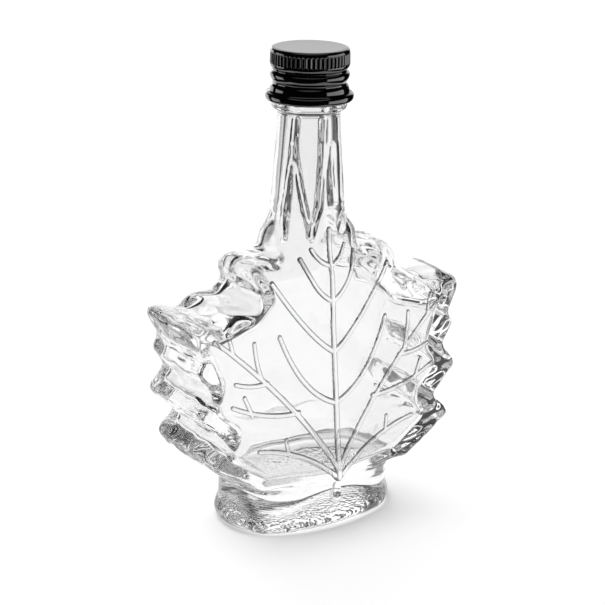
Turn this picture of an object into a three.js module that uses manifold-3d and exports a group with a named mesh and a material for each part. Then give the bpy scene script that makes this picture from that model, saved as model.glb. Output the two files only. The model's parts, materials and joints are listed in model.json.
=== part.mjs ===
// Clear glass bottle in the shape of a maple leaf, closed by a black metal screw cap.
// Millimetres, +Z up. The origin is the middle of the oval foot, on the table.
// The two broad leaf faces look along -Y (the veined front) and +Y (the plain back).
import * as THREE from 'three';
import { mergeVertices } from 'three/addons/utils/BufferGeometryUtils.js';
import Module from 'manifold-3d';

const wasm = await Module();
wasm.setup();

// ---------------------------------------------------------------- driving sizes
const FACE_HALF_DEPTH = 12.4;     // centre plane to the leaf face, at FACE_REF_Z
const FACE_REF_Z = 45;
const FACE_SLOPE = -0.107;        // the leaf gets thinner upwards, per mm of height
const EDGE_RADIUS = 2.0;          // rounding between the leaf face and its toothed side
const SIDE_DRAFT = 0.5;           // the side stands out this far at the mould seam

const WALL_SIDE = 2.7;            // glass between the toothed side and the hollow
const WALL_FACE = 2.4;            // glass behind each leaf face
const HOLLOW_EDGE = 2.0;          // rounding of the hollow along its rim

const NECK = [                    // outer radius of the neck at heights
  [67.0, 8.4], [71.0, 9.15], [77.9, 8.71], [87.6, 8.03], [97.0, 7.35], [99.3, 7.3],
];
const COLLAR_RADIUS = 8.7;        // glass ring right under the cap
const COLLAR_LOW = 99.9;
const COLLAR_HIGH = 101.7;
const FINISH_RADIUS = 7.6;        // plain tube inside the cap
const MOUTH_Z = 112.7;
const BORE = [                    // inner radius at heights
  [66.0, 5.2], [70.0, 6.3], [78.0, 6.6], [88.0, 6.0], [99.0, 5.2], [104.0, 4.8],
];

const FOOT_POWER = 2.15;          // 2 is an ellipse, larger is squarer
const FOOT = [                    // height, half width, half depth
  [0.0, 21.7, 14.6], [0.4, 22.4, 15.2], [1.3, 23.0, 15.8], [3.0, 23.1, 16.0],
  [4.4, 22.8, 16.0], [5.6, 22.0, 15.9], [6.9, 20.7, 15.7], [8.2, 19.8, 15.2],
  [9.6, 19.4, 14.6], [14.0, 19.2, 14.2], [17.0, 18.6, 13.6],
];

const CAP_TOP = 114.1;
const CAP_GAP = 0.35;             // the cap stands clear of the glass all round
const KNURLS = 56;
const KNURL_DEPTH = 0.35;
const KNURL_LOW = 110.4;
const KNURL_HIGH = 113.1;
const CAP_PROFILE = [             // outer radius of the cap at heights, from the lip up
  [102.0, 9.5], [102.2, 10.0], [102.9, 10.26], [103.6, 10.0], [104.1, 9.25], [105.2, 9.0],
  [105.95, 8.45], [107.6, 9.15], [108.2, 9.15], [108.95, 8.45], [110.0, 9.15],
  [KNURL_LOW, 9.15], [KNURL_HIGH, 9.15], [113.7, 9.0], [114.0, 8.65], [CAP_TOP, 8.2],
];

// Corners of the right half of the leaf outline, from the neck down to the foot:
// x, z, rounding radius. The names are the parts of the leaf.
const LEAF = {
  crown: [0, 75.4, 0],
  shoulder: [7.2, 73.3, 2.2],
  shoulderTooth: [10.5, 70.9, 1.1],
  shoulderNotch: [10.2, 66.0, 1.4],
  topTooth: [20.4, 65.7, 1.4],
  topNotch: [17.8, 59.5, 2.0],
  ledgeFoot: [21.3, 56.3, 1.6],
  ledgeTooth: [26.7, 56.5, 1.2],
  ledgeNotch: [29.6, 53.7, 2.0],
  sideTip: [39.0, 56.3, 1.2],
  sideNotch: [34.4, 47.3, 1.4],
  sideTooth: [36.1, 44.8, 1.1],
  middleNotch: [32.3, 39.6, 1.8],
  lowerTip: [36.5, 34.4, 1.3],
  lowerNotch: [28.9, 27.2, 1.6],
  footTip: [34.4, 22.0, 1.3],
  footEdge: [20.6, 13.8, 1.6],
  root: [0, 12.4, 0],
};
// the hollow follows the larger lobes only
const HOLLOW_CORNERS = ['crown', 'shoulder', 'shoulderNotch', 'topTooth', 'topNotch', 'ledgeFoot',
  'ledgeNotch', 'sideTip', 'middleNotch', 'lowerTip', 'lowerNotch', 'footTip', 'footEdge', 'root'];
const HOLLOW_TIP_RADIUS = 2.4;    // at least this round at the lobes
const HOLLOW_FLOOR = 1.4;         // extra glass over the foot

const VEIN_RADIUS = 0.72;
// Veins of the right half of the front face as curves through x, z; each is mirrored.
const VEINS = [
  [[0, 31.5], [9.5, 35.0], [14.9, 50.0]],
  [[0, 43.9], [6.5, 48.0], [16.1, 62.6]],
  [[0, 56.2], [4.6, 58.3], [7.3, 66.5]],
  [[0, 64.5], [2.9, 65.3], [4.4, 68.6]],
  [[0, 14.8], [9.0, 31.0], [28.0, 48.6]],
  [[27.6, 48.2], [27.9, 50.6], [28.6, 53.0]],
  [[27.6, 48.2], [30.0, 50.4], [32.2, 52.0]],
  [[20.4, 41.4], [21.6, 45.0], [21.8, 49.8]],
  [[18.8, 39.9], [23.0, 39.4], [27.2, 41.2]],
  [[10.6, 31.2], [19.0, 31.0], [28.3, 35.9]],
  [[23.3, 33.1], [24.0, 35.0], [25.1, 37.6]],
  [[0, 12.8], [10.0, 22.0], [21.8, 24.0]],
  [[13.8, 21.4], [14.3, 23.2], [14.4, 25.3]],
];
const STEM = [8.0, 14.5, 73.6];   // heights of the middle vein: foot, root of the leaf, neck
const STEM_FOOT_DEPTH = 15.7;     // where the vein runs down over the foot

// ---------------------------------------------------------------- small helpers
const faceDepth = (z) => FACE_HALF_DEPTH + FACE_SLOPE * (z - FACE_REF_Z);

// right half -> whole closed outline, mirrored about x = 0
function mirrored(half) {
  const inner = half.slice(1, -1);
  return [...half, ...inner.reverse().map(([x, z, r]) => [-x, z, r])];
}

// move every side of a closed polygon inwards by d (outwards when d is negative)
function offsetPolygon(corners, d) {
  const n = corners.length;
  let area = 0;
  for (let i = 0; i < n; i++) {
    const [ax, az] = corners[i], [bx, bz] = corners[(i + 1) % n];
    area += ax * bz - bx * az;
  }
  const turn = Math.sign(area);
  const sides = corners.map(([ax, az], i) => {
    const [bx, bz] = corners[(i + 1) % n];
    const len = Math.hypot(bx - ax, bz - az);
    const tx = (bx - ax) / len, tz = (bz - az) / len;
    return { x: ax - tz * turn * d, z: az + tx * turn * d, tx, tz };
  });
  return corners.map(([, , r], i) => {
    const p = sides[(i + n - 1) % n], q = sides[i];
    const cross = p.tx * q.tz - p.tz * q.tx;
    const convex = cross * turn > 0;
    const rr = r === 0 ? 0 : Math.max(0.25, convex ? r - d : r + d);
    if (Math.abs(cross) < 1e-6) return [q.x, q.z, rr, convex];
    const s = ((q.x - p.x) * q.tz - (q.z - p.z) * q.tx) / cross;
    return [p.x + p.tx * s, p.z + p.tz * s, rr, convex];
  });
}

// round every corner of a closed polygon; the same corner always gives the same number of points
function filletPolygon(corners, steps) {
  const n = corners.length, out = [];
  corners.forEach(([x, z, r], i) => {
    if (r === 0) { out.push(new THREE.Vector2(x, z)); return; }
    const a = corners[(i + n - 1) % n], b = corners[(i + 1) % n];
    const p = new THREE.Vector2(x, z);
    const da = new THREE.Vector2(a[0] - x, a[1] - z), db = new THREE.Vector2(b[0] - x, b[1] - z);
    const la = da.length(), lb = db.length();
    da.divideScalar(la); db.divideScalar(lb);
    const half = Math.acos(THREE.MathUtils.clamp(da.dot(db), -1, 1)) / 2;
    const t = Math.min(r / Math.tan(half), 0.46 * la, 0.46 * lb);
    const rr = t * Math.tan(half);
    const bis = da.clone().add(db).normalize();
    const c = p.clone().addScaledVector(bis, rr / Math.sin(half));
    const a0 = p.clone().addScaledVector(da, t).sub(c).angle();
    let sweep = p.clone().addScaledVector(db, t).sub(c).angle() - a0;
    while (sweep > Math.PI) sweep -= 2 * Math.PI;
    while (sweep < -Math.PI) sweep += 2 * Math.PI;
    for (let k = 0; k <= steps; k++) {
      const w = a0 + sweep * k / steps;
      out.push(new THREE.Vector2(c.x + rr * Math.cos(w), c.y + rr * Math.sin(w)));
    }
  });
  return out;
}

// closed skin through rings of equal length, with flat ends; flat2d gives each end ring in its own plane
function loft(rings, flat2d) {
  const n = rings[0].length, pos = [], idx = [];
  rings.forEach((ring) => ring.forEach((v) => pos.push(v.x, v.y, v.z)));
  for (let k = 0; k + 1 < rings.length; k++) {
    for (let i = 0; i < n; i++) {
      const j = (i + 1) % n, a = k * n + i, b = k * n + j, c = a + n, d = b + n;
      idx.push(a, b, d, a, d, c);
    }
  }
  const last = (rings.length - 1) * n;
  const cap = (ring, base, wanted) => {
    const flat = flat2d(ring), tris = THREE.ShapeUtils.triangulateShape(flat, []);
    const along = Math.sign(THREE.ShapeUtils.area(flat)) * wanted;
    for (const [a, b, c] of tris) {
      const area = (flat[b].x - flat[a].x) * (flat[c].y - flat[a].y) - (flat[b].y - flat[a].y) * (flat[c].x - flat[a].x);
      if (Math.sign(area) === along) idx.push(base + a, base + b, base + c);
      else idx.push(base + c, base + b, base + a);
    }
  };
  cap(rings[0], 0, -1);
  cap(rings[rings.length - 1], last, 1);
  const g = new THREE.BufferGeometry();
  g.setAttribute('position', new THREE.Float32BufferAttribute(pos, 3));
  g.setIndex(idx);
  return g;
}

// solid for joining and cutting; a skin that came out inside out is turned round
function solid(geometry) {
  const g = geometry.clone();
  g.deleteAttribute('normal');
  g.deleteAttribute('uv');
  const m = mergeVertices(g, 1e-4);
  const p = m.attributes.position, tri = [];
  const src = m.index.array;
  for (let i = 0; i < src.length; i += 3) {
    const [a, b, c] = [src[i], src[i + 1], src[i + 2]];
    if (a !== b && b !== c && a !== c) tri.push(a, b, c);
  }
  let vol = 0;
  const A = new THREE.Vector3(), B = new THREE.Vector3(), C = new THREE.Vector3();
  for (let i = 0; i < tri.length; i += 3) {
    A.fromBufferAttribute(p, tri[i]); B.fromBufferAttribute(p, tri[i + 1]); C.fromBufferAttribute(p, tri[i + 2]);
    vol += A.dot(B.cross(C)) / 6;
  }
  if (vol < 0) for (let i = 0; i < tri.length; i += 3) [tri[i + 1], tri[i + 2]] = [tri[i + 2], tri[i + 1]];
  return new wasm.Manifold(new wasm.Mesh({
    numProp: 3,
    vertProperties: new Float32Array(p.array),
    triVerts: new Uint32Array(tri),
  }));
}

function geometryOf(manifold) {
  const m = manifold.getMesh();
  const g = new THREE.BufferGeometry();
  const pos = new Float32Array(m.numVert * 3);
  for (let i = 0; i < m.numVert; i++) {
    for (let k = 0; k < 3; k++) pos[3 * i + k] = m.vertProperties[i * m.numProp + k];
  }
  g.setAttribute('position', new THREE.BufferAttribute(pos, 3));
  g.setIndex(new THREE.BufferAttribute(new Uint32Array(m.triVerts), 1));
  g.computeVertexNormals();
  return g;
}

// profile of [height, radius] pairs turned about Z, closed on the axis at both ends
function turned(profile, segments) {
  const pts = [new THREE.Vector2(0, profile[0][0]),
    ...profile.map(([z, r]) => new THREE.Vector2(r, z)),
    new THREE.Vector2(0, profile[profile.length - 1][0])];
  const g = new THREE.LatheGeometry(pts, segments);
  g.rotateX(Math.PI / 2);
  return g;
}

// leaf-shaped slab: rings of the outline, inset towards each face, standing along Y
function leafSlab(corners, cutBack, edge, draft, steps, turns) {
  const level = [];
  for (let k = 0; k <= turns; k++) {
    const t = (k / turns) * Math.PI / 2;
    level.push({ inset: edge * (1 - Math.sin(t)), back: cutBack + edge * (1 - Math.cos(t)) });
  }
  const ring = ({ inset, back }, side) => filletPolygon(offsetPolygon(corners, inset), steps)
    .map((v) => new THREE.Vector3(v.x, side * (faceDepth(v.y) - back), v.y));
  const rings = level.map((l) => ring(l, -1));
  if (draft > 0) {
    rings.push(filletPolygon(offsetPolygon(corners, -draft), steps).map((v) => new THREE.Vector3(v.x, 0, v.y)));
  }
  level.slice().reverse().forEach((l) => rings.push(ring(l, 1)));
  return loft(rings, (r) => r.map((v) => new THREE.Vector2(v.x, v.z)));
}

function ovalLoft(sections, power, count) {
  const rings = sections.map(([z, a, b]) => Array.from({ length: count }, (_, i) => {
    const w = 2 * Math.PI * i / count, c = Math.cos(w), s = Math.sin(w);
    return new THREE.Vector3(a * Math.sign(c) * Math.abs(c) ** (2 / power), b * Math.sign(s) * Math.abs(s) ** (2 / power), z);
  }));
  return loft(rings, (r) => r.map((v) => new THREE.Vector2(v.x, v.y)));
}

// a raised rib along a curve that lies on the front face
function vein(points, radius, steps) {
  const on = ([x, z]) => new THREE.Vector3(x, -(Math.min(faceDepth(z), STEM_FOOT_DEPTH) - 0.12), z);
  const path = points.length === 2
    ? new THREE.LineCurve3(on(points[0]), on(points[1]))
    : new THREE.QuadraticBezierCurve3(...points.map(on));
  const section = new THREE.Shape(Array.from({ length: 5 }, (_, i) => {
    const w = i * 2 * Math.PI / 5;
    return new THREE.Vector2(radius * Math.cos(w), radius * Math.sin(w));
  }));
  return new THREE.ExtrudeGeometry(section, { steps, extrudePath: path, bevelEnabled: false });
}

// ---------------------------------------------------------------- the bottle
const outline = mirrored(Object.values(LEAF));
let glass = solid(leafSlab(outline, 0, EDGE_RADIUS, SIDE_DRAFT, 2, 2));
glass = glass.add(solid(ovalLoft(FOOT, FOOT_POWER, 40)));
glass = glass.add(solid(turned([...NECK,
  [COLLAR_LOW, COLLAR_RADIUS - 0.3], [COLLAR_LOW + 0.5, COLLAR_RADIUS], [COLLAR_HIGH - 0.4, COLLAR_RADIUS],
  [COLLAR_HIGH, FINISH_RADIUS], [MOUTH_Z - 0.5, FINISH_RADIUS], [MOUTH_Z, FINISH_RADIUS - 0.5],
], 30)));
glass = glass.add(solid(vein([[0, STEM[0]], [0, STEM[1]]], VEIN_RADIUS, 1)));
glass = glass.add(solid(vein([[0, STEM[1] - 0.6], [0, STEM[2]]], VEIN_RADIUS, 1)));
for (const points of VEINS) {
  for (const side of [1, -1]) {
    glass = glass.add(solid(vein(points.map(([x, z]) => [side * x, z]), VEIN_RADIUS, 3)));
  }
}

const hollowHalf = HOLLOW_CORNERS.map((name) => {
  const [x, z, r] = LEAF[name];
  if (name === 'root') return [x, z + HOLLOW_FLOOR, r];
  if (name === 'footEdge') return [x - 1.0, z + HOLLOW_FLOOR + 1.0, 4.0];
  return [x, z, r];
});
const hollowOutline = offsetPolygon(mirrored(hollowHalf), WALL_SIDE)
  .map(([x, z, r, convex]) => [x, z, r === 0 ? 0 : (convex ? Math.max(HOLLOW_TIP_RADIUS, r) : r)]);
let hollow = solid(leafSlab(hollowOutline, WALL_FACE, HOLLOW_EDGE, 0, 2, 2));
hollow = hollow.add(solid(turned([...BORE, [MOUTH_Z + 1, 4.8]], 30)));
const bottle = new THREE.Mesh(
  geometryOf(glass.subtract(hollow)),
  new THREE.MeshStandardMaterial({ color: 0xf2f5f5, roughness: 0.04, metalness: 0, transparent: true, opacity: 0.45 }),
);
bottle.name = 'bottle';

// ---------------------------------------------------------------- the cap
const capBore = FINISH_RADIUS + CAP_GAP;
let shell = solid(turned(CAP_PROFILE, KNURLS));
shell = shell.subtract(solid(turned([[CAP_PROFILE[0][0] - 1, capBore], [MOUTH_Z + CAP_GAP, capBore]], 40)));
// the lip opens out below, clear of the glass collar
shell = shell.subtract(solid(turned([
  [CAP_PROFILE[0][0] - 1, 9.2], [CAP_PROFILE[0][0] + 0.5, 9.2], [CAP_PROFILE[0][0] + 1.6, capBore - 0.2],
], 40)));
const groove = new THREE.CylinderGeometry(KNURL_DEPTH, KNURL_DEPTH, KNURL_HIGH - KNURL_LOW - 0.3, 4);
groove.rotateX(Math.PI / 2);
groove.translate(0, 0, (KNURL_LOW + KNURL_HIGH) / 2);
for (let i = 0; i < KNURLS; i++) {
  const w = 2 * Math.PI * (i + 0.5) / KNURLS;
  const r = 9.15 * Math.cos(Math.PI / KNURLS);
  const g = groove.clone().rotateZ(w);
  g.translate(r * Math.cos(w), r * Math.sin(w), 0);
  shell = shell.subtract(solid(g));
}
const cap = new THREE.Mesh(
  geometryOf(shell),
  new THREE.MeshStandardMaterial({ color: 0x0c0c0d, roughness: 0.28, metalness: 0.3 }),
);
cap.name = 'cap';

const leafBottle = new THREE.Group();
leafBottle.add(bottle, cap);

export default leafBottle;
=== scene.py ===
"""Leaf-shaped clear glass bottle with a black screw cap, on a pale studio floor."""
import bpy
import bmesh
import json
import math
import numpy as np
from mathutils import Matrix, Vector

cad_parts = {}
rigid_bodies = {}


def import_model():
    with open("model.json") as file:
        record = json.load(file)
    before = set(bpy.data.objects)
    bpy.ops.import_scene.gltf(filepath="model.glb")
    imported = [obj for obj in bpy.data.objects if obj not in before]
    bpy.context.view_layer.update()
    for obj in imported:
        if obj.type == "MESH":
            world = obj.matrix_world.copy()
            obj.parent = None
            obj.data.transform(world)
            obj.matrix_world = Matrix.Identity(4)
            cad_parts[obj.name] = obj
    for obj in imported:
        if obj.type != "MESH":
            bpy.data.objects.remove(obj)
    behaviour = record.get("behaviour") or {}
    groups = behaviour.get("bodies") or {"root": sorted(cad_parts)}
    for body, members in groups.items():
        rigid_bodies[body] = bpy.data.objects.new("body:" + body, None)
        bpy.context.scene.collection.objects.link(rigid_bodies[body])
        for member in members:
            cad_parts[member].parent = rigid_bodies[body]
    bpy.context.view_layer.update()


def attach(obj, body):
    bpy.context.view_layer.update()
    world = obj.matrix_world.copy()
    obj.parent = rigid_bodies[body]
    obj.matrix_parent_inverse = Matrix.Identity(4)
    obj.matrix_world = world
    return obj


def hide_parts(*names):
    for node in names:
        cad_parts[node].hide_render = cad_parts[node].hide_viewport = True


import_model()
scene = bpy.context.scene
MM = 0.001

# ------------------------------------------------------------------ camera
CAM_POS = (-214.298, -318.924, 185.319)      # mm
CAM_YAW, CAM_PITCH, CAM_ROLL = 0.589814, 0.332893, 0.018662
CAM_FOCAL_PX, FRAME_PX = 1700.757, 605.0


def make_camera():
    cy, sy, cp, sp = math.cos(CAM_YAW), math.sin(CAM_YAW), math.cos(CAM_PITCH), math.sin(CAM_PITCH)
    fwd = Vector((sy * cp, cy * cp, -sp))
    right = Vector((cy, -sy, 0.0))
    up = right.cross(fwd)
    cr, sr = math.cos(CAM_ROLL), math.sin(CAM_ROLL)
    r2, u2 = cr * right + sr * up, -sr * right + cr * up
    data = bpy.data.cameras.new("camera")
    data.sensor_fit = "HORIZONTAL"
    data.sensor_width = 36.0
    data.lens = 36.0 * CAM_FOCAL_PX / FRAME_PX
    data.clip_start, data.clip_end = 0.02, 50.0
    obj = bpy.data.objects.new("camera", data)
    scene.collection.objects.link(obj)
    m = Matrix((r2, u2, -fwd)).transposed().to_4x4()
    m.translation = Vector(CAM_POS) * MM
    obj.matrix_world = m
    scene.camera = obj
    return obj


make_camera()

# ------------------------------------------------------------------ sizes of the glass (mm)
VOXEL = 0.42
BLUR = 0.27                                   # softness of every edge
BODY_FACES = 150000

FACE_DEPTH, FACE_REF, FACE_SLOPE = 12.4, 45.0, -0.107
FRONT_ROUND, BACK_ROUND, SHOULDER_ROUND = 1.5, 2.6, 4.5
SIDE_BULGE, SIDE_SWAY, OUTLINE_SOFT = 0.9, 0.16, 0.6
WALL_SIDE, WALL_FACE, HOLLOW_ROUND, BOWL_ROUND = 3.1, 2.4, 2.2, 3.5

LEAF = [                                      # right half outline: x, z, rounding
    (0.0, 75.4, 0.0), (7.2, 73.3, 2.2), (10.5, 70.9, 1.1), (10.2, 66.0, 1.4),
    (20.4, 65.7, 1.4), (17.8, 59.5, 2.0), (21.3, 56.3, 1.6), (26.7, 56.5, 1.2),
    (29.6, 53.7, 2.0), (39.0, 56.3, 1.2), (34.4, 47.3, 1.4), (36.1, 44.8, 1.1),
    (32.3, 39.6, 1.8), (36.5, 34.4, 1.3), (28.9, 27.2, 1.6), (34.4, 22.0, 1.3),
    (20.6, 13.8, 1.6), (0.0, 12.4, 0.0),
]
HOLLOW = [
    (0.0, 75.4, 0.0), (7.2, 73.3, 2.2), (10.2, 66.0, 1.4), (20.4, 65.7, 1.4),
    (17.8, 59.5, 2.0), (21.3, 56.3, 1.6), (29.6, 53.7, 2.0), (39.0, 56.3, 1.2),
    (32.3, 39.6, 1.8), (36.5, 34.4, 1.3), (28.9, 27.2, 1.6), (34.4, 22.0, 1.3),
    (19.6, 11.8, 5.0), (0.0, 9.4, 0.0),
]
VEINS = [                                     # right half, each mirrored: curve through x, z, and width at both ends
    ((0, 31.5), (9.5, 35.0), (14.9, 50.0), 1.0, 0.9),
    ((0, 43.9), (6.5, 48.0), (16.1, 62.6), 1.0, 0.9),
    ((0, 56.2), (4.6, 58.3), (7.3, 66.5), 0.95, 0.85),
    ((0, 64.5), (2.9, 65.3), (4.4, 68.6), 0.9, 0.8),
    ((0, 14.8), (9.0, 31.0), (28.0, 48.6), 1.1, 0.9),
    ((27.6, 48.2), (27.9, 50.6), (28.6, 53.0), 0.85, 0.8),
    ((27.6, 48.2), (30.0, 50.4), (32.2, 52.0), 0.85, 0.8),
    ((20.4, 41.4), (21.6, 45.0), (21.8, 49.8), 0.9, 0.8),
    ((18.8, 39.9), (23.0, 39.4), (27.2, 41.2), 0.9, 0.8),
    ((10.6, 31.2), (19.0, 31.0), (28.3, 35.9), 0.95, 0.8),
    ((23.3, 33.1), (24.0, 35.0), (25.1, 37.6), 0.85, 0.8),
    ((0, 12.8), (10.0, 22.0), (21.8, 24.0), 1.0, 0.85),
    ((13.8, 21.4), (14.3, 23.2), (14.4, 25.3), 0.85, 0.8),
]
VEIN_RADIUS, VEIN_SINK = 0.97, 0.62           # bar under the face, so that only a low round back shows

FOOT_POWER, STAND_POWER = 2.15, 3.6
FOOT = [                                      # oval foot: height, half width, half depth
    (-2.0, 21.7, 14.6), (0.0, 21.7, 14.6), (0.4, 22.4, 15.2), (1.3, 23.0, 15.8), (2.4, 23.1, 16.0),
    (3.4, 22.6, 15.9), (4.4, 21.6, 15.6), (5.5, 20.6, 15.2), (7.0, 19.5, 14.6), (9.0, 18.4, 13.8),
    (11.0, 17.0, 12.6), (120.0, 17.0, 12.6),
]
STAND = [(-2.0, 20.3, 13.6), (5.0, 20.2, 13.6), (9.0, 20.1, 13.8), (12.0, 20.4, 14.3), (17.0, 20.8, 14.4), (120.0, 20.8, 14.4)]
NECK = [(52.0, 10.2), (60.0, 9.9), (66.0, 9.55), (71.0, 9.2), (77.9, 8.71), (87.6, 8.03), (97.0, 7.35), (99.6, 7.25), (120.0, 7.25)]
FINISH_RADIUS, MOUTH_Z = 7.6, 112.7
COLLAR = (7.2, 101.0, 8.8, 1.0)               # inner radius, middle height, outer radius, half height
BORE = [(50.0, 6.4), (70.0, 6.4), (78.0, 6.6), (88.0, 6.0), (99.0, 5.2), (104.0, 4.8), (120.0, 4.8)]

TO_LENS = (-math.sin(CAM_YAW), -math.cos(CAM_YAW))
TO_RIGHT = (math.cos(CAM_YAW), -math.sin(CAM_YAW))
BORE_RIDGES = [                               # flow lines in the bore wall: height, place across, thickness (mm)
    [(70.0, 0.6, 0.2), (73.0, 0.6, 0.9), (77.0, -0.4, 0.9), (82.0, -1.4, 0.9), (88.0, -2.4, 0.8), (92.0, -2.9, 0.2), (93.0, -2.9, 0.0)],
    [(70.0, -5.2, 0.5), (75.0, -4.8, 0.8), (84.0, -3.9, 0.8), (90.0, -3.2, 0.9), (98.0, -2.7, 0.8), (101.0, -2.6, 0.0)],
    [(70.0, 1.0, 0.2), (73.5, 1.4, 1.2), (78.0, 2.4, 1.4), (83.0, 2.7, 1.0), (90.0, 3.0, 0.9), (98.0, 3.0, 0.9), (101.0, 2.9, 0.0)],
    [(78.0, 5.2, 0.3), (83.0, 4.6, 0.9), (86.0, 4.3, 0.9), (92.0, 4.4, 0.4), (93.0, 4.4, 0.0)],
]


# ------------------------------------------------------------------ outline helpers
def mirrored(half):
    return half + [(-x, z, r) for x, z, r in half[1:-1][::-1]]


def offset_polygon(c, d):
    n = len(c)
    area = sum(c[i][0] * c[(i + 1) % n][1] - c[(i + 1) % n][0] * c[i][1] for i in range(n))
    turn = math.copysign(1.0, area)
    sides = []
    for i in range(n):
        ax, az = c[i][:2]
        bx, bz = c[(i + 1) % n][:2]
        ln = math.hypot(bx - ax, bz - az)
        tx, tz = (bx - ax) / ln, (bz - az) / ln
        sides.append((ax - tz * turn * d, az + tx * turn * d, tx, tz))
    out = []
    for i in range(n):
        px, pz, ptx, ptz = sides[i - 1]
        qx, qz, qtx, qtz = sides[i]
        cross = ptx * qtz - ptz * qtx
        convex = cross * turn > 0
        r = c[i][2]
        rr = 0.0 if r == 0 else max(0.25, r - d if convex else r + d)
        if abs(cross) < 1e-6:
            out.append((qx, qz, rr, convex))
            continue
        s = ((qx - px) * qtz - (qz - pz) * qtx) / cross
        out.append((px + ptx * s, pz + ptz * s, rr, convex))
    return out


def fillet_polygon(c, steps):
    n, out = len(c), []
    for i in range(n):
        p = np.array(c[i][:2])
        r = c[i][2]
        if r == 0:
            out.append(p)
            continue
        da, db = np.array(c[i - 1][:2]) - p, np.array(c[(i + 1) % n][:2]) - p
        la, lb = np.linalg.norm(da), np.linalg.norm(db)
        da, db = da / la, db / lb
        half = math.acos(max(-1.0, min(1.0, float(da @ db)))) / 2
        t = min(r / math.tan(half), 0.46 * la, 0.46 * lb)
        rr = t * math.tan(half)
        bis = da + db
        cen = p + bis / np.linalg.norm(bis) * rr / math.sin(half)
        a, b = p + da * t - cen, p + db * t - cen
        a0 = math.atan2(a[1], a[0])
        sweep = (math.atan2(b[1], b[0]) - a0 + math.pi) % (2 * math.pi) - math.pi
        for k in range(steps + 1):
            w = a0 + sweep * k / steps
            out.append(cen + rr * np.array((math.cos(w), math.sin(w))))
    return np.array(out)


def polygon_distance(poly, X, Z):
    """Signed distance to a closed polygon on a grid, negative inside."""
    d2 = np.full(X.shape, 1e9, np.float32)
    inside = np.zeros(X.shape, bool)
    for (ax, az), (bx, bz) in zip(poly, np.roll(poly, -1, 0)):
        ex, ez = bx - ax, bz - az
        t = np.clip(((X - ax) * ex + (Z - az) * ez) / (ex * ex + ez * ez + 1e-12), 0, 1)
        d2 = np.minimum(d2, (X - ax - t * ex) ** 2 + (Z - az - t * ez) ** 2)
        if az != bz:
            hit = ((az > Z) != (bz > Z)) & (X < ax + (Z - az) * ex / ez)
            inside ^= hit
    d = np.sqrt(d2)
    return np.where(inside, -d, d).astype(np.float32)


def curve_points(p0, p1, p2, n):
    t = np.linspace(0, 1, n)[:, None]
    p0, p1, p2 = (np.array(p, float) for p in (p0, p1, p2))
    return (1 - t) ** 2 * p0 + 2 * t * (1 - t) * p1 + t ** 2 * p2


def vein_runs():
    runs = []
    for p0, p1, p2, w0, w1 in VEINS:
        for side in (1, -1):
            q = curve_points(p0, p1, p2, 24) * (side, 1)
            runs.append((q, np.linspace(w0, w1, len(q))))
    stem = np.linspace(13.0, 73.0, 44)
    runs.append((np.stack([0 * stem, stem], 1), np.linspace(1.25, 0.95, 44)))
    return runs


# ------------------------------------------------------------------ field helpers
def smooth_min(a, b, k):
    h = np.clip(0.5 + 0.5 * (b - a) / k, 0, 1)
    return b + (a - b) * h - k * h * (1 - h)


def round_and(a, b, r):
    return np.minimum(-r, np.maximum(a, b)) + np.sqrt(np.maximum(r + a, 0) ** 2 + np.maximum(r + b, 0) ** 2)


def table(rows, z, col):
    """Smooth (monotone cubic) interpolation of one column of a table over z."""
    xs = np.array([r[0] for r in rows], float)
    ys = np.array([r[col] for r in rows], float)
    h = np.diff(xs)
    s = np.diff(ys) / h
    m = np.zeros(len(xs))
    for i in range(1, len(xs) - 1):
        if s[i - 1] * s[i] > 0:
            w1, w2 = 2 * h[i] + h[i - 1], h[i] + 2 * h[i - 1]
            m[i] = (w1 + w2) / (w1 / s[i - 1] + w2 / s[i])
    m[0], m[-1] = s[0], s[-1]
    i = np.clip(np.searchsorted(xs, z) - 1, 0, len(xs) - 2)
    t = np.clip((z - xs[i]) / h[i], 0, 1)
    return ((1 + 2 * t) * (1 - t) ** 2 * ys[i] + t * (1 - t) ** 2 * h[i] * m[i]
            + t * t * (3 - 2 * t) * ys[i + 1] + t * t * (t - 1) * h[i] * m[i + 1])


def blurred(f, sigma):
    sigmas = sigma if isinstance(sigma, tuple) else (sigma,) * 3
    for axis, sg in enumerate(sigmas):
        if sg <= 0:
            continue
        n = int(math.ceil(2.5 * sg))
        k = np.exp(-0.5 * (np.arange(-n, n + 1) / sg) ** 2)
        k = (k / k.sum()).astype(np.float32)
        pad = [(0, 0)] * 3
        pad[axis] = (n, n)
        p = np.pad(f, pad, mode="edge")
        g = np.zeros_like(f)
        for j, w in enumerate(k):
            sl = [slice(None)] * 3
            sl[axis] = slice(j, j + f.shape[axis])
            g += w * p[tuple(sl)]
        f = g
    return f


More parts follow.
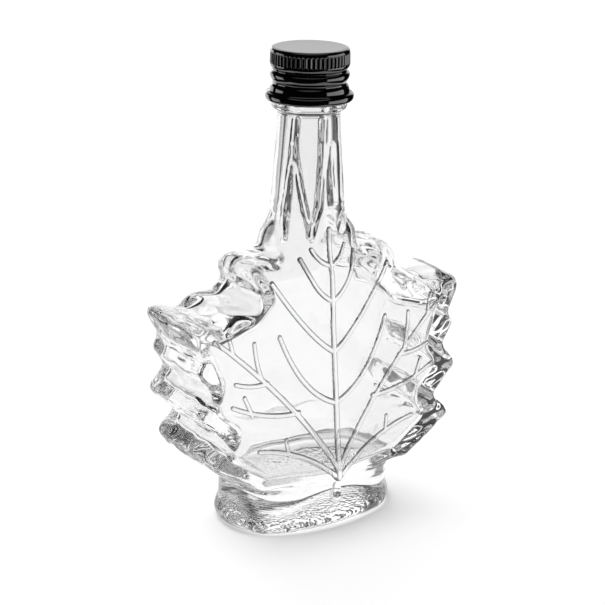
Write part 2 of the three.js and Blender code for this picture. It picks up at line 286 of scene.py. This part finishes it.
def surface_nets(F):
    """Quads of the zero surface of F, vertices in cell units, facing towards positive F."""
    S = F < 0
    cnt = np.zeros(tuple(s - 1 for s in F.shape), np.int8)
    corners = [(i, j, k) for i in (0, 1) for j in (0, 1) for k in (0, 1)]
    nx, ny, nz = F.shape
    for i, j, k in corners:
        cnt += S[i:nx - 1 + i, j:ny - 1 + j, k:nz - 1 + k]
    active = (cnt > 0) & (cnt < 8)
    index = np.full(active.shape, -1, np.int64)
    cells = np.argwhere(active)
    index[active] = np.arange(len(cells))
    acc, num = np.zeros((len(cells), 3)), np.zeros(len(cells))
    for axis in range(3):
        step = np.eye(3, dtype=int)[axis]
        for a in corners:
            if a[axis]:
                continue
            pa = cells + np.array(a)
            fa = F[tuple(pa.T)]
            fb = F[tuple((pa + step).T)]
            m = (fa < 0) != (fb < 0)
            t = fa[m] / (fa[m] - fb[m])
            acc[m] += pa[m] + t[:, None] * step
            num[m] += 1
    V = acc / num[:, None]
    quads = []
    for axis in range(3):
        u, v = [(1, 2), (2, 0), (0, 1)][axis]
        lo = [slice(None)] * 3
        hi = [slice(None)] * 3
        lo[axis], hi[axis] = slice(0, -1), slice(1, None)
        flip = S[tuple(lo)] != S[tuple(hi)]
        e = np.argwhere(flip)
        ok = (e[:, u] > 0) & (e[:, v] > 0) & (e[:, u] < F.shape[u] - 1) & (e[:, v] < F.shape[v] - 1)
        e = e[ok]
        du, dv = np.eye(3, dtype=int)[u], np.eye(3, dtype=int)[v]
        q = np.stack([index[tuple((e - a * du - b * dv).T)] for a, b in ((1, 1), (0, 1), (0, 0), (1, 0))], 1)
        inside_low = S[tuple(e.T)]
        q[~inside_low] = q[~inside_low][:, ::-1]
        quads.append(q)
    return V, np.concatenate(quads)


class Grid:
    def __init__(self, F, origin, vox):
        self.F, self.o, self.v = F, np.array(origin), vox
        self.G = [g.astype(np.float32) for g in np.gradient(F, vox)]

    def at(self, P):
        q = (P - self.o) / self.v
        q = np.clip(q, 0, np.array(self.F.shape) - 1.001)
        i = q.astype(int)
        t = q - i
        f = np.zeros(len(P))
        g = np.zeros((len(P), 3))
        for a in (0, 1):
            for b in (0, 1):
                for c in (0, 1):
                    w = ((t[:, 0] if a else 1 - t[:, 0]) * (t[:, 1] if b else 1 - t[:, 1]) * (t[:, 2] if c else 1 - t[:, 2]))
                    k = (i[:, 0] + a, i[:, 1] + b, i[:, 2] + c)
                    f += w * self.F[k]
                    for d in range(3):
                        g[:, d] += w * self.G[d][k]
        return f, g

    def settle(self, P, rounds=3):
        for _ in range(rounds):
            f, g = self.at(P)
            s = f / np.maximum((g * g).sum(1), 0.05)
            P = P - np.clip(s, -0.6 * self.v, 0.6 * self.v)[:, None] * g
        return P


# ------------------------------------------------------------------ the glass
def glass_field():
    x = np.arange(-40.3, 40.31, VOXEL)
    x = x - (x[0] + x[-1]) / 2
    y = np.arange(-17.9, 17.91, VOXEL)
    y = y - (y[0] + y[-1]) / 2
    z = np.arange(-1.3, 114.0, VOXEL)
    X2, Z2 = np.meshgrid(x, z, indexing="ij")
    X, Y, Z = (a.astype(np.float32) for a in (x[:, None, None], y[None, :, None], z[None, None, :]))
    depth = (FACE_DEPTH + FACE_SLOPE * (z - FACE_REF)).astype(np.float32)[None, None, :]
    rad = np.sqrt(X * X + Y * Y)

    outline = polygon_distance(fillet_polygon(mirrored(LEAF), 8), X2, Z2)[:, None, :]
    outline = blurred(outline, (OUTLINE_SOFT / VOXEL, 0, OUTLINE_SOFT / VOXEL))
    sway = (np.sin(0.78 * X + 0.61 * Z + 0.45 * Y) * np.cos(0.33 * Z - 0.52 * Y + 0.9)
            + 0.8 * np.sin(0.9 * Z - 0.5 * X + 1.7) * np.cos(0.6 * Y + 0.35 * X + 0.5)).astype(np.float32)
    side = outline - SIDE_BULGE * (1 - (Y / depth) ** 2) + SIDE_SWAY * sway
    low = np.clip((26.0 - z) / 8.0, 0, 1).astype(np.float32)[None, None, :]
    edge = np.where(Y < 0, FRONT_ROUND, BACK_ROUND + 2.6 * low).astype(np.float32)
    face = np.abs(Y) - depth
    high = np.clip((z - 61.0) / 9.0, 0, 1)
    high = (high * high * (3 - 2 * high)).astype(np.float32)[None, None, :]
    slab = round_and(side, face + 2.6 * high, edge + (SHOULDER_ROUND - edge) * high)

    neck = rad - table(NECK, z, 1).astype(np.float32)[None, None, :]
    neck = np.maximum(neck, 54.0 - Z)
    finish = np.maximum(rad - FINISH_RADIUS, np.maximum(Z - MOUTH_Z, 100.0 - Z))
    ri, zc, ro, hh = COLLAR
    collar = round_and(rad - ro, np.abs(Z - zc) - hh, 0.7)
    neck = smooth_min(np.maximum(neck, Z - 102.0), collar, 1.3)
    neck = np.minimum(neck, finish)

    def oval(rows, power):
        a, b = (table(rows, z, c).astype(np.float32)[None, None, :] for c in (1, 2))
        rho = ((np.abs(X) / a) ** power + (np.abs(Y) / b) ** power) ** (1 / power)
        return rad * (1 - 1 / np.maximum(rho, 1e-3))

    foot = np.maximum(oval(FOOT, FOOT_POWER), np.maximum(-Z, Z - 11.0))
    stand = np.maximum(oval(STAND, STAND_POWER), np.maximum(-Z, Z - 17.0))
    foot = smooth_min(foot, stand, 0.9)

    stem_y, stem_z = -15.2, np.clip(Z, 7.6, 14.5)
    stem = np.sqrt(X * X + (Y - stem_y) ** 2 + (Z - stem_z) ** 2) - 0.95

    behind = np.clip((Y + 4.0) / 8.0, 0, 1)
    body = smooth_min(slab, foot, 2.2 + 3.3 * behind * behind * (3 - 2 * behind))
    body = smooth_min(body, stem, 0.3)
    body = smooth_min(body, neck, 3.0)
    body = blurred(body.astype(np.float32), BLUR / VOXEL)
    body = np.maximum(body, -Z)

    inner = offset_polygon(mirrored(HOLLOW), WALL_SIDE)
    inner = [(px, pz, 0.0 if r == 0 else (max(2.8, r) if cv else r)) for px, pz, r, cv in inner]
    hollow = polygon_distance(fillet_polygon(inner, 8), X2, Z2)[:, None, :]
    deep = np.clip((30.0 - z) / 12.0, 0, 1)
    deep = (deep * deep * (3 - 2 * deep)).astype(np.float32)[None, None, :]
    hollow = round_and(hollow + 0 * Y, np.abs(Y) - (depth - WALL_FACE), HOLLOW_ROUND + (BOWL_ROUND - HOLLOW_ROUND) * deep)
    bore = rad - table(BORE, z, 1).astype(np.float32)[None, None, :]
    bore = np.maximum(bore, 60.0 - Z)
    skin = body + WALL_FACE
    top = np.clip((z - 58.5) / 5.0, 0, 1)
    top = (top * top * (3 - 2 * top)).astype(np.float32)[None, None, :]
    hollow = hollow * (1 - top) + np.maximum(skin, Z - 76.0) * top
    hollow = smooth_min(hollow, bore, 2.5)
    wave = (np.sin(0.52 * X + 0.27 * Z + 0.7) * np.sin(0.41 * Z - 0.23 * X + 1.1) * np.cos(0.33 * Y + 0.4)
            + 0.6 * np.sin(0.63 * X - 0.41 * Z + 2.0) * np.cos(0.27 * Y + 0.2 * Z))
    hollow = blurred((hollow + 0.05 * wave).astype(np.float32), 0.6 / VOXEL)
    across = X * TO_RIGHT[0] + Y * TO_RIGHT[1]
    toward = X * TO_LENS[0] + Y * TO_LENS[1]
    for rows in BORE_RIDGES:
        zs = [r[0] for r in rows]
        centre, tall = (np.interp(z, zs, [r[c] for r in rows]).astype(np.float32)[None, None, :] for c in (1, 2))
        tall = np.where((z >= zs[0]) & (z <= zs[-1]), tall, 0).astype(np.float32)
        hollow = hollow + np.where(toward > 0, 1.35 * tall * np.exp(-((across - centre) / 0.64) ** 2), 0)
    return np.maximum(body, -hollow), (x[0], y[0], z[0])


def mesh_object(name, verts_mm, faces, normals=None, smooth=True):
    me = bpy.data.meshes.new(name)
    me.from_pydata([tuple(v) for v in np.asarray(verts_mm) * MM], [], [tuple(int(i) for i in f) for f in faces])
    me.validate()
    me.update()
    if smooth:
        me.polygons.foreach_set("use_smooth", np.ones(len(me.polygons), bool))
    obj = bpy.data.objects.new(name, me)
    scene.collection.objects.link(obj)
    return obj


def coords(me):
    co = np.zeros(len(me.vertices) * 3)
    me.vertices.foreach_get("co", co)
    return co.reshape(-1, 3) / MM


def vein_gap(x, z):
    """Distance to the side of the nearest vein, negative on it."""
    free = np.full(np.shape(x), 9.0)
    for q, w in vein_runs():
        for a, b, wa, wb in zip(q[:-1], q[1:], w[:-1], w[1:]):
            e = b - a
            t = np.clip(((x - a[0]) * e[0] + (z - a[1]) * e[1]) / (e @ e), 0, 1)
            d = np.hypot(x - a[0] - t * e[0], z - a[1] - t * e[1])
            free = np.minimum(free, d - VEIN_RADIUS * (wa + (wb - wa) * t))
    return free


def vein_lines(grid):
    """Centre lines of the veins' bars, just under the front surface, with their widths."""
    ys = np.arange(-17.4, -5.0, 0.1)
    out = []
    for q, w in vein_runs():
        q = np.asarray(q, float)
        P = np.stack([np.repeat(q[:, 0], len(ys)), np.tile(ys, len(q)), np.repeat(q[:, 1], len(ys))], 1)
        f = grid.at(P)[0].reshape(len(q), len(ys))
        i = np.maximum(1, np.argmax(f < 0, axis=1))
        k = np.arange(len(q))
        y = ys[i - 1] + 0.1 * f[k, i - 1] / (f[k, i - 1] - f[k, i])
        y[1:-1] = 0.5 * y[1:-1] + 0.25 * (y[:-2] + y[2:])
        out.append((np.stack([q[:, 0], y + VEIN_SINK * w, q[:, 1]], 1), w))
    return out


def nearest_on_veins(P, runs):
    best = np.full(len(P), 1e9)
    out = np.zeros_like(P)
    for line, w in runs:
        for a, b, wa, wb in zip(line[:-1], line[1:], w[:-1], w[1:]):
            e = b - a
            t = np.clip(((P - a) @ e) / (e @ e), 0, 1)
            c = a + t[:, None] * e
            d = np.linalg.norm(P - c, axis=1) - VEIN_RADIUS * (wa + (wb - wa) * t)
            near = d < best
            best = np.where(near, d, best)
            out[near] = c[near]
    return out


def vein_tube(name, line, w):
    """Closed round bar along a vein, with ball ends."""
    sides = 24
    ang = np.arange(sides) * 2 * math.pi / sides
    tang = np.gradient(line, axis=0)
    tang /= np.linalg.norm(tang, axis=1)[:, None]
    rings = []
    caps = [math.radians(a) for a in (75, 50, 25)]

    def ring(c, t, r):
        u = np.cross(t, (0.0, 1.0, 0.0))
        u /= np.linalg.norm(u)
        v = np.cross(u, t)
        return c + r * (np.cos(ang)[:, None] * u + np.sin(ang)[:, None] * v)

    r0, r1 = VEIN_RADIUS * w[0], VEIN_RADIUS * w[-1]
    for a in caps:
        rings.append(ring(line[0] - tang[0] * r0 * math.sin(a), tang[0], r0 * math.cos(a)))
    for c, t, k in zip(line, tang, w):
        rings.append(ring(c, t, VEIN_RADIUS * k))
    for a in caps[::-1]:
        rings.append(ring(line[-1] + tang[-1] * r1 * math.sin(a), tang[-1], r1 * math.cos(a)))
    verts = np.concatenate(rings + [(line[0] - tang[0] * r0)[None], (line[-1] + tang[-1] * r1)[None]])
    m = len(rings)
    faces = []
    for k in range(m - 1):
        for i in range(sides):
            j = (i + 1) % sides
            faces.append((k * sides + i, k * sides + j, (k + 1) * sides + j, (k + 1) * sides + i))
    tail, head = m * sides, m * sides + 1
    for i in range(sides):
        j = (i + 1) % sides
        faces.append((j, i, tail))
        faces.append(((m - 1) * sides + i, (m - 1) * sides + j, head))
    me = bpy.data.meshes.new(name)
    me.from_pydata([tuple(v) for v in verts * MM], [], faces)
    bm = bmesh.new()
    bm.from_mesh(me)
    bmesh.ops.recalc_face_normals(bm, faces=bm.faces[:])
    bm.to_mesh(me)
    bm.free()
    return bpy.data.objects.new(name, me)


def make_glass():
    F, origin = glass_field()
    grid = Grid(F, origin, VOXEL)
    V, Q = surface_nets(F)
    P = V * VOXEL + np.array(origin)
    # even out the cells, then settle back on the surface
    for _ in range(2):
        acc, num = np.zeros_like(P), np.zeros(len(P))
        for a in range(4):
            i, j = Q[:, a], Q[:, (a + 1) % 4]
            np.add.at(acc, i, P[j])
            np.add.at(num, i, 1)
            np.add.at(acc, j, P[i])
            np.add.at(num, j, 1)
        P = 0.5 * P + 0.5 * acc / num[:, None]
        P = grid.settle(P, 2)
    P = grid.settle(P, 3)
    obj = mesh_object("bottle_glass", P, Q)
    dec = obj.modifiers.new("reduce", "DECIMATE")
    dec.ratio = min(1.0, BODY_FACES / (2.0 * len(Q)))
    dg = bpy.context.evaluated_depsgraph_get()
    me = bpy.data.meshes.new_from_object(obj.evaluated_get(dg))
    obj.modifiers.clear()
    old = obj.data
    obj.data = me
    bpy.data.meshes.remove(old)

    runs = vein_lines(grid)
    tubes = bpy.data.collections.new("vein_runs")
    for k, (q, w) in enumerate(runs):
        tubes.objects.link(vein_tube("vein_%02d" % k, q, w))
    join = obj.modifiers.new("veins", "BOOLEAN")
    join.operation = "UNION"
    join.operand_type = "COLLECTION"
    join.collection = tubes
    join.solver = "MANIFOLD"
    bpy.context.view_layer.update()
    dg = bpy.context.evaluated_depsgraph_get()
    new = bpy.data.meshes.new_from_object(obj.evaluated_get(dg))
    obj.modifiers.clear()
    for t in list(tubes.objects):
        bpy.data.objects.remove(t)
    bpy.data.collections.remove(tubes)
    if len(new.polygons) > 1000:
        obj.data = new
        bpy.data.meshes.remove(me)
        me = new
    bm = bmesh.new()
    bm.from_mesh(me)
    bmesh.ops.triangulate(bm, faces=bm.faces[:])
    bm.to_mesh(me)
    bm.free()

    # normals: the field's on the body, round the centre line on the veins
    P = coords(me)
    _, g = grid.at(P)
    g /= np.maximum(np.linalg.norm(g, axis=1), 1e-6)[:, None]
    n = len(me.polygons)
    tri = np.zeros(n * 3, int)
    me.polygons.foreach_get("vertices", tri)
    tri = tri.reshape(-1, 3)
    mid = P[tri].mean(axis=1)
    f, _ = grid.at(mid)
    raised = (f > 0.04) & (mid[:, 1] < -6.0) & (vein_gap(mid[:, 0], mid[:, 2]) < 0.05)
    loops = g[tri].reshape(-1, 3)
    pts = P[tri[raised]].reshape(-1, 3)
    loops[np.repeat(raised, 3)] = pts - nearest_on_veins(pts, runs)
    loops /= np.maximum(np.linalg.norm(loops, axis=1), 1e-6)[:, None]
    # painted shade mask: 1 on the steep vein flanks, where the glass colour is darkened to stand in for the dark
    # refraction lines
    flank_painted_shade = np.zeros(len(loops), np.float32)
    on_vein = np.repeat(raised, 3)
    slope = np.sqrt(np.maximum(0.0, 1 - loops[on_vein][:, 1] ** 2))
    flank_painted_shade[on_vein] = np.clip((slope - 0.34) / 0.22, 0, 1)
    me.attributes.new("flank_painted_shade", "FLOAT", "CORNER").data.foreach_set("value", flank_painted_shade)
    me.polygons.foreach_set("use_smooth", np.ones(n, bool))
    me.update()
    me.normals_split_custom_set([tuple(v) for v in loops])
    print("glass faces", n, "verts", len(P), "raised", int(raised.sum()))
    return obj


# ------------------------------------------------------------------ the cap
KNURLS = 54
CAP_PROFILE = [                               # height, radius, from the lip up
    (102.05, 9.45), (102.0, 9.75), (102.12, 10.0), (102.45, 10.18), (102.9, 10.26), (103.35, 10.22),
    (103.7, 10.0), (103.92, 9.6), (104.12, 9.3), (104.45, 9.16), (104.9, 9.08), (105.3, 8.98),
    (105.6, 8.72), (105.85, 8.5), (106.05, 8.46), (106.3, 8.52), (106.7, 8.76), (107.15, 9.02), (107.6, 9.16),
    (108.0, 9.2), (108.35, 9.1), (108.6, 8.8), (108.8, 8.52), (108.95, 8.46), (109.12, 8.52),
    (109.4, 8.8), (109.75, 9.06), (110.1, 9.18), (110.45, 9.22), (110.7, 9.2), (112.95, 9.16), (113.3, 9.14),
    (113.6, 9.06), (113.85, 8.9), (114.0, 8.7), (114.07, 8.45), (114.1, 8.1),
]
CAP_INNER = [(113.05, 0.0), (113.05, 7.6), (112.9, 7.95), (104.4, 7.95), (103.5, 8.2), (102.7, 9.2), (102.05, 9.3)]


def make_cap():
    per = 10
    n = KNURLS * per
    ang = np.arange(n) * 2 * math.pi / n
    prof = np.array(CAP_PROFILE)
    # densify by arc length
    seg = np.hypot(*np.diff(prof, axis=0).T)
    s = np.concatenate([[0], np.cumsum(seg)])
    ts = np.unique(np.concatenate([s, np.arange(0, s[-1], 0.16)]))
    zz, rr = np.interp(ts, s, prof[:, 0]), np.interp(ts, s, prof[:, 1])
    # soften the profile
    for _ in range(6):
        zz[1:-1] = 0.5 * zz[1:-1] + 0.25 * (zz[:-2] + zz[2:])
        rr[1:-1] = 0.5 * rr[1:-1] + 0.25 * (rr[:-2] + rr[2:])
    rows = []
    wave = (0.5 + 0.5 * np.cos(KNURLS * ang)) ** 0.8
    for z, r in zip(zz, rr):
        up = np.clip((z - 110.45) / 0.3, 0, 1)
        down = np.clip((113.15 - z) / 0.35, 0, 1)
        k = up * up * (3 - 2 * up) * down * down * (3 - 2 * down)
        rk = r - 0.30 * k * wave
        rows.append(np.stack([rk * np.cos(ang), rk * np.sin(ang), np.full(n, z)], 1))
    # top plate: slight dish inside a rounded edge
    for r, z in ((7.7, 114.1), (7.0, 114.09), (5.0, 114.07), (2.5, 114.06), (0.6, 114.06)):
        rows.append(np.stack([r * np.cos(ang), r * np.sin(ang), np.full(n, z)], 1))
    inner = [np.stack([r * np.cos(ang), r * np.sin(ang), np.full(n, z)], 1) for z, r in CAP_INNER[1:]]
    rows = inner + rows
    verts = np.concatenate(rows)
    faces = []
    m = len(rows)
    j = (np.arange(n) + 1) % n
    for k in range(m - 1):
        a, b = k * n + np.arange(n), k * n + j
        faces.append(np.stack([a, b, b + n, a + n], 1))
    faces = [tuple(f) for f in np.concatenate(faces)]
    top, low = len(verts), len(verts) + 1
    verts = np.concatenate([verts, [(0, 0, 114.06), (0, 0, CAP_INNER[0][0])]])
    last = (m - 1) * n
    for i in range(n):
        faces.append((last + i, last + j[i], top))
        faces.append((j[i], i, low))
    obj = mesh_object("cap_shell", verts, faces)
    return obj


# ------------------------------------------------------------------ materials
def new_material(name):
    m = bpy.data.materials.new(name)
    m.use_nodes = True
    nt = m.node_tree
    nt.nodes.clear()
    out = nt.nodes.new("ShaderNodeOutputMaterial")
    return m, nt, out


def glass_material():
    m, nt, out = new_material("clear_glass")
    p = nt.nodes.new("ShaderNodeBsdfPrincipled")
    p.inputs["Roughness"].default_value = 0.0
    p.inputs["IOR"].default_value = 1.5
    p.inputs["Transmission Weight"].default_value = 1.0
    tex = nt.nodes.new("ShaderNodeTexCoord")
    noise = nt.nodes.new("ShaderNodeTexNoise")
    noise.inputs["Scale"].default_value = 90.0
    noise.inputs["Detail"].default_value = 2.0
    nt.links.new(tex.outputs["Object"], noise.inputs["Vector"])
    bump = nt.nodes.new("ShaderNodeBump")
    bump.inputs["Strength"].default_value = 0.03
    bump.inputs["Distance"].default_value = 0.0006
    nt.links.new(noise.outputs["Fac"], bump.inputs["Height"])
    split = nt.nodes.new("ShaderNodeSeparateXYZ")
    nt.links.new(tex.outputs["Object"], split.inputs[0])
    # painted shade: the steep flanks of the raised veins are darkened in the glass colour, standing in for the dark
    # refraction lines along them
    flank_painted_shade = nt.nodes.new("ShaderNodeAttribute")
    flank_painted_shade.attribute_name = "flank_painted_shade"
    vein_painted_shade = nt.nodes.new("ShaderNodeMapRange")
    vein_painted_shade.inputs["To Min"].default_value = 0.938
    vein_painted_shade.inputs["To Max"].default_value = 0.015
    nt.links.new(flank_painted_shade.outputs["Fac"], vein_painted_shade.inputs["Value"])
    nt.links.new(vein_painted_shade.outputs["Result"], p.inputs["Base Color"])
    # stippled underside of the foot
    low = nt.nodes.new("ShaderNodeMapRange")
    low.inputs["From Min"].default_value = 0.0003
    low.inputs["From Max"].default_value = 0.0006
    low.inputs["To Min"].default_value = 1.0
    low.inputs["To Max"].default_value = 0.0
    nt.links.new(split.outputs["Z"], low.inputs["Value"])
    dots = nt.nodes.new("ShaderNodeTexVoronoi")
    dots.inputs["Scale"].default_value = 950.0
    nt.links.new(tex.outputs["Object"], dots.inputs["Vector"])
    oval = nt.nodes.new("ShaderNodeVectorMath")
    oval.operation = "MULTIPLY"
    oval.inputs[1].default_value = (1000 / 22.0, 1000 / 15.0, 0.0)
    nt.links.new(tex.outputs["Object"], oval.inputs[0])
    out_from_middle = nt.nodes.new("ShaderNodeVectorMath")
    out_from_middle.operation = "LENGTH"
    nt.links.new(oval.outputs[0], out_from_middle.inputs[0])
    ring = nt.nodes.new("ShaderNodeMapRange")
    ring.inputs["From Min"].default_value = 0.50
    ring.inputs["From Max"].default_value = 0.66
    ring.inputs["To Min"].default_value = 0.8
    nt.links.new(out_from_middle.outputs["Value"], ring.inputs["Value"])
    rim = nt.nodes.new("ShaderNodeMapRange")
    rim.inputs["From Min"].default_value = 0.84
    rim.inputs["From Max"].default_value = 0.90
    rim.inputs["To Min"].default_value = 1.0
    rim.inputs["To Max"].default_value = 0.0
    nt.links.new(out_from_middle.outputs["Value"], rim.inputs["Value"])
    both = dots.outputs["Distance"]
    for part in (low, ring, rim):
        step = nt.nodes.new("ShaderNodeMath")
        step.operation = "MULTIPLY"
        nt.links.new(both, step.inputs[0])
        nt.links.new(part.outputs["Result"], step.inputs[1])
        both = step.outputs[0]
    stipple = nt.nodes.new("ShaderNodeBump")
    stipple.inputs["Strength"].default_value = 0.48
    stipple.inputs["Distance"].default_value = 0.0004
    nt.links.new(both, stipple.inputs["Height"])
    nt.links.new(bump.outputs["Normal"], stipple.inputs["Normal"])
    nt.links.new(stipple.outputs["Normal"], p.inputs["Normal"])
    # the thick foot holds back more light than the thin walls
    clear = nt.nodes.new("ShaderNodeBsdfTransparent")
    thick = nt.nodes.new("ShaderNodeMapRange")
    thick.inputs["From Min"].default_value = 0.002
    thick.inputs["From Max"].default_value = 0.020
    thick.inputs["To Min"].default_value = 0.6
    thick.inputs["To Max"].default_value = 0.985
    nt.links.new(split.outputs["Z"], thick.inputs["Value"])
    under = nt.nodes.new("ShaderNodeMapRange")
    under.inputs["From Min"].default_value = 0.0003
    under.inputs["From Max"].default_value = 0.0012
    under.inputs["To Min"].default_value = 0.99
    under.inputs["To Max"].default_value = 0.0
    nt.links.new(split.outputs["Z"], under.inputs["Value"])
    most = nt.nodes.new("ShaderNodeMath")
    most.operation = "MAXIMUM"
    nt.links.new(thick.outputs["Result"], most.inputs[0])
    nt.links.new(under.outputs["Result"], most.inputs[1])
    nt.links.new(most.outputs[0], clear.inputs["Color"])
    path = nt.nodes.new("ShaderNodeLightPath")
    mix = nt.nodes.new("ShaderNodeMixShader")
    nt.links.new(path.outputs["Is Shadow Ray"], mix.inputs["Fac"])
    nt.links.new(p.outputs["BSDF"], mix.inputs[1])
    nt.links.new(clear.outputs["BSDF"], mix.inputs[2])
    nt.links.new(mix.outputs["Shader"], out.inputs["Surface"])
    return m


def cap_material():
    m, nt, out = new_material("black_lacquer")
    p = nt.nodes.new("ShaderNodeBsdfPrincipled")
    p.inputs["Base Color"].default_value = (0.0010, 0.0010, 0.0011, 1)
    p.inputs["IOR"].default_value = 1.55
    p.inputs["Specular IOR Level"].default_value = 1.0
    tex = nt.nodes.new("ShaderNodeTexCoord")
    noise = nt.nodes.new("ShaderNodeTexNoise")
    noise.inputs["Scale"].default_value = 420.0
    noise.inputs["Detail"].default_value = 3.0
    nt.links.new(tex.outputs["Object"], noise.inputs["Vector"])
    ramp = nt.nodes.new("ShaderNodeMapRange")
    ramp.inputs["To Min"].default_value = 0.03
    ramp.inputs["To Max"].default_value = 0.08
    nt.links.new(noise.outputs["Fac"], ramp.inputs["Value"])
    nt.links.new(ramp.outputs["Result"], p.inputs["Roughness"])
    bump = nt.nodes.new("ShaderNodeBump")
    bump.inputs["Strength"].default_value = 0.04
    bump.inputs["Distance"].default_value = 0.0002
    nt.links.new(noise.outputs["Fac"], bump.inputs["Height"])
    nt.links.new(bump.outputs["Normal"], p.inputs["Normal"])
    nt.links.new(p.outputs["BSDF"], out.inputs["Surface"])
    return m


# ------------------------------------------------------------------ stage and light
def floor_material():
    m, nt, out = new_material("pale_floor")
    d = nt.nodes.new("ShaderNodeBsdfDiffuse")
    d.inputs["Color"].default_value = (0.93, 0.93, 0.93, 1)
    nt.links.new(d.outputs["BSDF"], out.inputs["Surface"])
    return m


FLOOR = [                                     # mm: distance towards the lens, distance to its right
    (62.0, -125.0), (130.0, 125.0), (-120.0, 110.0), (-400.0, 170.0), (-1400.0, 430.0),
    (-1400.0, -430.0), (-400.0, -170.0), (-120.0, -110.0),
]


FLOOR_REACH = 4000.0


def make_stage():
    """White floor in two parts: the near part lights the glass from below and behind, the far part only fills the view."""
    def place(f, r):
        return tuple(MM * (f * TO_LENS[i] + r * TO_RIGHT[i]) for i in (0, 1)) + (0.0,)

    near = [place(f, r) for f, r in FLOOR]
    far = [place(f * FLOOR_REACH / math.hypot(f, r), r * FLOOR_REACH / math.hypot(f, r)) for f, r in FLOOR]
    n = len(near)
    ring = [(i, i + n, (i + 1) % n + n, (i + 1) % n) for i in range(n)]
    pale = floor_material()
    for name, verts, faces in (("floor", near, [tuple(range(n))]), ("floor_far", near + far, ring)):
        me = bpy.data.meshes.new(name)
        me.from_pydata(verts, [], faces)
        obj = bpy.data.objects.new(name, me)
        scene.collection.objects.link(obj)
        me.materials.append(pale)
        obj.location = (0, 0, -0.0001)
        if name == "floor_far":
            obj.visible_glossy = False
            obj.visible_transmission = False


WORLD_DARK, BACK_PANEL, THROUGH_GLASS = 0.006, 1.5, 0.35
LENS_SIDE, ROOM = 0.17, 0.97                  # grey wall seen through the glass on the lens side; pale room all round
PANELS = [                                    # degrees from the lens, + right: from, to; height from, to; softness; strength
    (-168.0, -129.0, -25.0, 10.0, 2.0, 2.0),
    (-114.0, -83.0, -25.0, 10.0, 2.0, 2.0),
    (52.0, 116.0, -25.0, 20.0, 2.0, 2.0),
    (-400.0, 400.0, 62.0, 100.0, 4.0, 0.5),
]


def make_world():
    w = bpy.data.worlds.new("studio")
    scene.world = w
    w.use_nodes = True
    nt = w.node_tree
    nt.nodes.clear()
    out = nt.nodes.new("ShaderNodeOutputWorld")
    bg = nt.nodes.new("ShaderNodeBackground")
    tex = nt.nodes.new("ShaderNodeTexCoord")

    def dot(v):
        n = nt.nodes.new("ShaderNodeVectorMath")
        n.operation = "DOT_PRODUCT"
        nt.links.new(tex.outputs["Generated"], n.inputs[0])
        n.inputs[1].default_value = v
        return n.outputs["Value"]

    def calc(op, a, b=None, c=None):
        n = nt.nodes.new("ShaderNodeMath")
        n.operation = op
        for i, v in enumerate((a, b, c)):
            if v is None:
                continue
            if isinstance(v, (int, float)):
                n.inputs[i].default_value = v
            else:
                nt.links.new(v, n.inputs[i])
        return n.outputs[0]

    def ramp(v, lo, hi, a=0.0, b=1.0):
        n = nt.nodes.new("ShaderNodeMapRange")
        n.interpolation_type = "SMOOTHSTEP"
        nt.links.new(v, n.inputs["Value"])
        n.inputs["From Min"].default_value = lo
        n.inputs["From Max"].default_value = hi
        n.inputs["To Min"].default_value = a
        n.inputs["To Max"].default_value = b
        return n.outputs["Result"]

    deg = math.pi / 180
    front = dot((TO_LENS[0], TO_LENS[1], 0))
    right = dot((TO_RIGHT[0], TO_RIGHT[1], 0))
    up = dot((0, 0, 1))
    az = calc("ARCTAN2", right, front)                        # 0 towards the lens, + right
    el = calc("ARCSINE", up)

    def window(v, lo, hi, soft):
        return calc("MULTIPLY", ramp(v, (lo - soft) * deg, (lo + soft) * deg), ramp(v, (hi - soft) * deg, (hi + soft) * deg, 1.0, 0.0))

    level = None
    for az0, az1, el0, el1, soft, power in PANELS:
        a = calc("MULTIPLY", window(az, az0, az1, soft), window(el, el0, el1, soft))
        level = calc("MULTIPLY", a, power) if level is None else calc("MULTIPLY_ADD", a, power, level)
    # the side panels stand out of the way of what is seen through the glass
    path = nt.nodes.new("ShaderNodeLightPath")
    share = ramp(path.outputs["Is Transmission Ray"], 0.0, 1.0, 1.0, THROUGH_GLASS)
    level = calc("MULTIPLY_ADD", level, share, WORLD_DARK)
    wrap = calc("ABSOLUTE", az)
    back = calc("MULTIPLY", ramp(wrap, 148 * deg, 160 * deg), window(el, -1, 38, 4))
    level = calc("MULTIPLY_ADD", back, BACK_PANEL, level)
    wall = calc("MULTIPLY", ramp(wrap, 32 * deg, 55 * deg, 1.0, 0.0), window(el, -89, 20, 6))
    wall = calc("MULTIPLY", wall, path.outputs["Is Transmission Ray"])
    level = calc("MULTIPLY_ADD", wall, LENS_SIDE, level)
    level = calc("MAXIMUM", level, calc("MULTIPLY", path.outputs["Is Camera Ray"], ROOM))
    nt.links.new(level, bg.inputs["Strength"])
    nt.links.new(bg.outputs["Background"], out.inputs["Surface"])


def make_lights():
    d = bpy.data.lights.new("sky_fill", "SUN")
    d.energy = 3.4
    d.angle = math.radians(46)
    o = bpy.data.objects.new("sky_fill", d)
    scene.collection.objects.link(o)
    o.rotation_euler = (math.radians(-27), math.radians(-5), 0)
    o.visible_glossy = False
    o.visible_transmission = False


bottle = make_glass()
cap = make_cap()
bottle.data.materials.clear()
bottle.data.materials.append(glass_material())
cap.data.materials.clear()
cap.data.materials.append(cap_material())
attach(bottle, "root")
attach(cap, "root")
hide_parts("bottle")
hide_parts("cap")

make_stage()
make_world()
make_lights()

scene.view_settings.view_transform = "Standard"
scene.cycles.max_bounces = 24
scene.cycles.transmission_bounces = 24
scene.cycles.glossy_bounces = 24
scene.cycles.transparent_max_bounces = 24
scene.cycles.use_denoising = True
